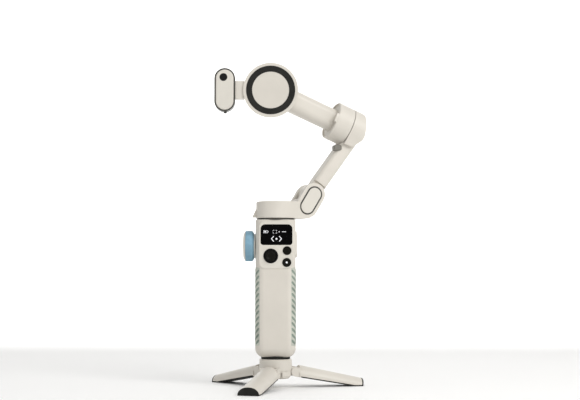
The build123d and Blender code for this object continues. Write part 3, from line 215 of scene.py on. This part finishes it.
MATERIALS = {
    "cream_shell": moulded_plastic("cream_shell", CREAM),
    "cream_cover": moulded_plastic("cream_cover", CREAM_COVER, roughness=0.36, grain=0.08),
    "grey_trim": moulded_plastic("grey_trim", (0.170, 0.162, 0.140), grain=0.1),
    "dark_trim": moulded_plastic("dark_trim", (0.055, 0.052, 0.045), roughness=0.34, grain=0.06),
    "black_gloss": moulded_plastic("black_gloss", BLACK, roughness=0.22, grain=0.03, shine=0.2),
    "black_button": moulded_plastic("black_button", WARM_BLACK, roughness=0.3, grain=0.08, shine=0.1),
    "display_glass": dark_glass("display_glass"),
    "blue_rubber": soft_rubber("blue_rubber", (0.200, 0.360, 0.470), roughness=0.55, grain=0.15),
    "grip_rubber": soft_rubber("grip_rubber", (0.500, 0.515, 0.455), roughness=0.6),
    "rib_rubber": soft_rubber("rib_rubber", (0.220, 0.270, 0.228), roughness=0.6),
    "black_rubber": soft_rubber("black_rubber", (0.010, 0.010, 0.008)),
    "steel": turned_metal("steel", (0.55, 0.55, 0.56)),
    "brass": turned_metal("brass", (0.72, 0.52, 0.24)),
    "magnet": turned_metal("magnet", (0.62, 0.62, 0.64), 0.16, (1, 60, 1)),
    "copper_stator": turned_metal("copper_stator", (0.62, 0.30, 0.14), 0.35, (60, 1, 1)),
    "board": moulded_plastic("board", (0.03, 0.17, 0.08), grain=0.3, spread=0.2),
    "cell": moulded_plastic("cell", (0.08, 0.20, 0.36), roughness=0.3, grain=0.03),
    "white_mark": lit_mark("white_mark", (0.80, 0.81, 0.84), 0.3),
}


def paint_cad_nodes():
    """Gives each CAD node the procedural material of its slot."""
    slots = {row["node"]: row["material_slot"] for row in frame["record"]["subparts"]}
    for name, node in NODES.items():
        node.data.materials.clear()
        node.data.materials.append(MATERIALS[slots[name]])


# ---- Camera, light and stage -------------------------------------------------------------------------

CAMERA_PLACE = Vector((0.0143, -1.1592, 0.1082))
CAMERA_PITCH = radians(3.84)
CAMERA_LENS = 72.0
SURROUND = 0.52
PAPER_LOW, PAPER_HIGH = (0.935, 0.935, 0.93), (0.95, 0.95, 0.945)


def make_camera():
    """Low camera in front of the handle, tipped up a little, as in the reference view."""
    data = bpy.data.cameras.new("camera")
    data.lens = CAMERA_LENS
    data.sensor_width = 36.0
    camera = bpy.data.objects.new("camera", data)
    camera.location = CAMERA_PLACE
    camera.rotation_euler = (pi / 2 + CAMERA_PITCH, 0, 0)
    bpy.context.scene.collection.objects.link(camera)
    bpy.context.scene.camera = camera


def area_light(name, place, target, size, power, colour=(1, 1, 1)):
    """A soft box aimed at a point."""
    data = bpy.data.lights.new(name, "AREA")
    data.shape = "RECTANGLE"
    data.size, data.size_y = size
    data.energy = power
    data.color = colour
    light = bpy.data.objects.new(name, data)
    light.location = place
    light.rotation_euler = (Vector(target) - Vector(place)).to_track_quat("-Z", "Y").to_euler()
    bpy.context.scene.collection.objects.link(light)


def make_light():
    """A large soft box at the upper right, a weaker one at the left and a bright, even surround."""
    middle = (0, 0, 0.17)
    area_light("key", (1.2, -1.3, 1.3), middle, (1.1, 1.1), 24, (1.0, 0.99, 0.975))
    area_light("fill", (-1.5, -1.2, 0.7), middle, (1.4, 1.4), 3.0, (0.98, 0.99, 1.0))
    area_light("top", (0.1, 0.3, 1.9), middle, (1.6, 1.6), 5)
    area_light("backdrop", (0, 1.0, 1.4), (0, 3.2, 0.7), (3.0, 1.0), 60)
    world = bpy.data.worlds.new("studio")
    world.use_nodes = True
    background = world.node_tree.nodes["Background"]
    background.inputs["Color"].default_value = (1.0, 0.995, 0.985, 1)
    background.inputs["Strength"].default_value = SURROUND
    bpy.context.scene.world = world
    bpy.context.scene.view_settings.view_transform = "Standard"


def make_stage():
    """A pale floor that curves up into a backdrop."""
    width, front, back, height, bend, steps = 14.0, -6.0, 3.2, 6.0, 1.6, 24
    profile = [(front, 0.0), (back - bend, 0.0)]
    for step in range(1, steps + 1):
        angle = pi / 2 * step / steps
        profile.append((back - bend + bend * sin(angle), bend - bend * cos(angle)))
    profile.append((back, height))
    mesh = bpy.data.meshes.new("backdrop")
    verts = [(x, y, z) for y, z in profile for x in (-width / 2, width / 2)]
    faces = [(2 * i, 2 * i + 1, 2 * i + 3, 2 * i + 2) for i in range(len(profile) - 1)]
    mesh.from_pydata(verts, [], faces)
    for polygon in mesh.polygons:
        polygon.use_smooth = True
    backdrop = bpy.data.objects.new("backdrop", mesh)
    bpy.context.scene.collection.objects.link(backdrop)
    material, tree, shader = new_material("paper")
    tone = add_noise(tree, 1.5, 2.0)
    base = colour_between(tree, tone.outputs["Fac"], PAPER_LOW, PAPER_HIGH)
    tree.links.new(base, shader.inputs["Base Color"])
    shader.inputs["Roughness"].default_value = 0.8
    mesh.materials.append(material)


# ---- Pieces ------------------------------------------------------------------------------------------

SHARP_ANGLE = radians(34)


def add_piece(name, mesh_data, material, body):
    """A smooth-shaded piece from vertices and faces, riding on a body."""
    verts, faces = mesh_data
    mesh = bpy.data.meshes.new(name)
    mesh.from_pydata(verts, [], faces)
    work = bmesh.new()
    work.from_mesh(mesh)
    bmesh.ops.recalc_face_normals(work, faces=work.faces)
    work.to_mesh(mesh)
    work.free()
    mesh.materials.append(MATERIALS[material])
    mesh.shade_smooth()
    mesh.set_sharp_from_angle(angle=SHARP_ANGLE)
    piece = bpy.data.objects.new(name, mesh)
    bpy.context.scene.collection.objects.link(piece)
    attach(piece, body)
    return piece


def join_data(parts):
    """Several vertex and face lists as one."""
    verts, faces = [], []
    for part_verts, part_faces in parts:
        start = len(verts)
        verts.extend(part_verts)
        faces.extend([tuple(start + index for index in face) for face in part_faces])
    return verts, faces


def tube_data(rings, closed_ends=True):
    """A skin over rings of points, all of the same length."""
    count = len(rings[0])
    verts = [point for ring in rings for point in ring]
    faces = []
    for row in range(len(rings) - 1):
        for column in range(count):
            after = (column + 1) % count
            faces.append((
                row * count + column, row * count + after,
                (row + 1) * count + after, (row + 1) * count + column,
            ))
    if closed_ends:
        faces.append(tuple(reversed(range(count))))
        faces.append(tuple(range((len(rings) - 1) * count, len(rings) * count)))
    return verts, faces


# -- Grip ribs: diagonal ribs that wrap the handle's sides --------------------------------------------------

RIB_PITCH, RIB_SLOPE, RIB_HALF, RIB_PROUD = 5.7 * MM, 0.66, 1.25 * MM, 0.30 * MM
# the handle's front and rear corners in plan
FRONT_R, REAR_R = 9 * MM, 13 * MM
RIB_START, RIB_STOP = radians(33), radians(44)
RIB_STEPS, RIB_MARGIN, RIB_FIRST = 30, 2.2 * MM, 0.6
RIB_END_WIDTH, RIB_END_RISE = 0.06, 0.35
RIB_SECTION = [(-1, -0.7), (-1, 0.1), (-0.72, 0.85), (0, 1), (0.72, 0.85), (1, 0.1), (1, -0.7)]


def side_line(half_w, half_d):
    """The handle's right side in plan, as a function from arc length to place and outward normal."""
    front_arc = FRONT_R * (pi / 2 - RIB_START)
    flat = 2 * half_d - FRONT_R - REAR_R
    total = front_arc + flat + REAR_R * RIB_STOP

    def place(along):
        if along < front_arc:
            turn = RIB_START + along / FRONT_R
            normal = Vector((sin(turn), -cos(turn), 0))
            centre = Vector((half_w - FRONT_R, -half_d + FRONT_R, 0))
            return centre + normal * FRONT_R, normal
        if along < front_arc + flat:
            return Vector((half_w, -half_d + FRONT_R + along - front_arc, 0)), Vector((1, 0, 0))
        turn = (along - front_arc - flat) / REAR_R
        normal = Vector((cos(turn), sin(turn), 0))
        return Vector((half_w - REAR_R, half_d - REAR_R, 0)) + normal * REAR_R, normal

    return place, total


def rib_data(place, start, stop, height, mirror):
    """One rib: a low bar with softened edges and rounded ends."""
    rings = []
    for step in range(RIB_STEPS + 1):
        share = step / RIB_STEPS
        along = start + (stop - start) * share
        end_gap = min(share, 1 - share) * (stop - start) / RIB_HALF
        width = RIB_HALF * sqrt(max(RIB_END_WIDTH, 1 - max(0.0, 1 - end_gap) ** 2))
        rise = RIB_PROUD * min(1.0, RIB_END_RISE + end_gap)
        ring = []
        for across, out in RIB_SECTION:
            z = height - RIB_SLOPE * along + across * width * sqrt(1 + RIB_SLOPE ** 2)
            centre, normal = place(along)
            point = centre + normal * (out * (rise if out > 0 else RIB_PROUD))
            ring.append((point.x * mirror, point.y, z))
        rings.append(ring)
    return tube_data(rings)


def make_grip_ribs():
    """Ribs on both sides, from the front edge down to the back."""
    shell_low, shell_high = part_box("handle_front_shell")
    place, total = side_line(shell_high[0], -shell_low[1])
    for node, mirror in (("grip_left", -1), ("grip_right", 1)):
        grip_low, grip_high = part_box(node)
        low, high = grip_low[2] + RIB_MARGIN, grip_high[2] - RIB_MARGIN
        ribs = []
        height = low + RIB_PITCH * RIB_FIRST
        while height < high + RIB_SLOPE * total:
            start = max(0.0, (height - high) / RIB_SLOPE)
            stop = min(total, (height - low) / RIB_SLOPE)
            if stop - start > 4 * RIB_HALF:
                ribs.append(rib_data(place, start, stop, height, mirror))
            height += RIB_PITCH
        add_piece(f"{node}_ribs", join_data(ribs), "rib_rubber", "handle")


# -- Side wheel: tyre with fine cross grooves ----------------------------------------------------------------

GROOVES, GROOVE_STEPS, GROOVE_DEPTH = 64, 6, 0.16 * MM
TYRE_BORE, TYRE_SMOOTH = 10 * MM, 2.5 * MM


def make_wheel_tyre():
    """A rubber tyre with softened corners and shallow grooves along its axis."""
    low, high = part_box("wheel_tyre")
    radius = (high[2] - low[2]) / 2
    centre_z = (high[2] + low[2]) / 2
    width = high[0] - low[0]
    count = GROOVES * GROOVE_STEPS
    profile = [
        (0, TYRE_BORE), (0, radius - 0.5 * MM), (0.15 * MM, radius - 0.15 * MM), (0.5 * MM, radius),
        (width * 0.4, radius), (width - 2.1 * MM, radius), (width - 1.5 * MM, radius - 0.35 * MM),
        (width - 0.35 * MM, radius - 2.1 * MM), (width, radius - 3.0 * MM), (width, TYRE_BORE),
    ]
    rings = []
    for x, r in profile:
        grooved = r > radius - TYRE_SMOOTH and x > 0.2 * MM
        ring = []
        for step in range(count):
            turn = 2 * pi * step / count
            cut = GROOVE_DEPTH if grooved and step % GROOVE_STEPS == 0 else 0.0
            ring.append((low[0] + x, sin(turn) * (r - cut), centre_z + cos(turn) * (r - cut)))
        rings.append(ring)
    verts, faces = tube_data(rings, closed_ends=False)
    last = (len(rings) - 1) * count
    faces += [(c, (c + 1) % count, last + (c + 1) % count, last + c) for c in range(count)]
    tyre = add_piece("side_wheel_tyre", (verts, faces), "blue_rubber", "side_wheel")
    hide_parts("wheel_tyre")


# -- Lit marks on the display, and a painted glow on the record button's printed dot -------------------------

MARK_T = 0.06 * MM
ROUND_STEPS = 8

# millimetres from the middle of the display, in two rows at these shares of its height
UPPER_ROW, LOWER_ROW = 0.64, 0.30
THIN, FINE, BOLD = 0.16, 0.14, 0.36
BATTERY_X, BATTERY_W, BATTERY_H = -10.6, 2.0, 1.1
FOCUS_X, FOCUS_W, FOCUS_H = -1.6, 1.8, 1.4
DOT_X, DOT_R = 2.6, 0.48
DASH_X0, DASH_X1, DASH_HALF = 5.6, 9.2, 0.24
ARROW_TIP, ARROW_RUN, ARROW_RISE = 5.0, 2.2, 2.4
CENTRE_R, RECORD_R = 0.95, 0.95


def bar_data(x0, z0, x1, z1, half, y):
    """A straight stroke with round ends, on a plane that faces the user."""
    run = Vector((x1 - x0, 0, z1 - z0))
    along = run.normalized()
    across = Vector((-along.z, 0, along.x))
    outline = []
    for end, sign in ((Vector((x1, 0, z1)), 1), (Vector((x0, 0, z0)), -1)):
        for step in range(ROUND_STEPS + 1):
            turn = -pi / 2 + pi * step / ROUND_STEPS
            outline.append(end + (along * cos(turn) + across * sin(turn)) * half * sign)
    front = [(point.x, y - MARK_T, point.z) for point in outline]
    back = [(point.x, y + MARK_T, point.z) for point in outline]
    return tube_data([front, back])


def make_display_marks():
    """Generic marks: a battery, focus corners, a dot, a dash and a pair of pan arrows."""
    low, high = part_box("display_window")
    middle = (low[0] + high[0]) / 2
    marks = []

    def stroke(row, x0, z0, x1, z1, half):
        """Adds one stroke, in millimetres from the middle of a row."""
        z = low[2] + (high[2] - low[2]) * row
        marks.append(bar_data(
            middle + x0 * MM, z + z0 * MM, middle + x1 * MM, z + z1 * MM, half * MM, low[1],
        ))

    left, right = BATTERY_X - BATTERY_W, BATTERY_X + BATTERY_W
    for side in (-1, 1):
        edge = BATTERY_X + side * BATTERY_W
        stroke(UPPER_ROW, left, side * BATTERY_H, right, side * BATTERY_H, THIN)
        stroke(UPPER_ROW, edge, -BATTERY_H, edge, BATTERY_H, THIN)
    stroke(UPPER_ROW, left + 0.9, 0, right - 1.8, 0, 0.5)
    stroke(UPPER_ROW, right + 0.6, -0.3, right + 0.6, 0.3, THIN)
    for side_x in (-1, 1):
        for side_z in (-1, 1):
            x, z = FOCUS_X + side_x * FOCUS_W, side_z * FOCUS_H
            stroke(UPPER_ROW, x, z, x - side_x * 1.0, z, FINE)
            stroke(UPPER_ROW, x, z, x, z - side_z * 0.8, FINE)
    stroke(UPPER_ROW, DOT_X, 0, DOT_X + 0.05, 0, DOT_R)
    stroke(UPPER_ROW, DASH_X0, 0, DASH_X1, 0, DASH_HALF)
    for side in (-1, 1):
        tip = side * ARROW_TIP
        for turn in (-1, 1):
            stroke(LOWER_ROW, tip, 0, tip - side * ARROW_RUN, turn * ARROW_RISE, BOLD)
    stroke(LOWER_ROW, -0.02, 0, 0.02, 0, CENTRE_R)
    add_piece("display_marks", join_data(marks), "white_mark", "handle")


def make_record_mark():
    """White dot in the middle of the record button. It takes the glowing mark material, so the printed dot
    glows faintly: a painted glow, as the dot is no lamp.
    """
    low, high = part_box("record_button")
    x, z = (low[0] + high[0]) / 2, (low[2] + high[2]) / 2
    dot = bar_data(x - 0.02 * MM, z, x + 0.02 * MM, z, RECORD_R * MM, low[1])
    # the white mark glows at low strength here: a painted glow on a printed dot
    add_piece("record_mark", dot, "white_mark", "record_key")


make_camera()
make_light()
make_stage()
paint_cad_nodes()
make_grip_ribs()
make_wheel_tyre()
make_display_marks()
make_record_mark()
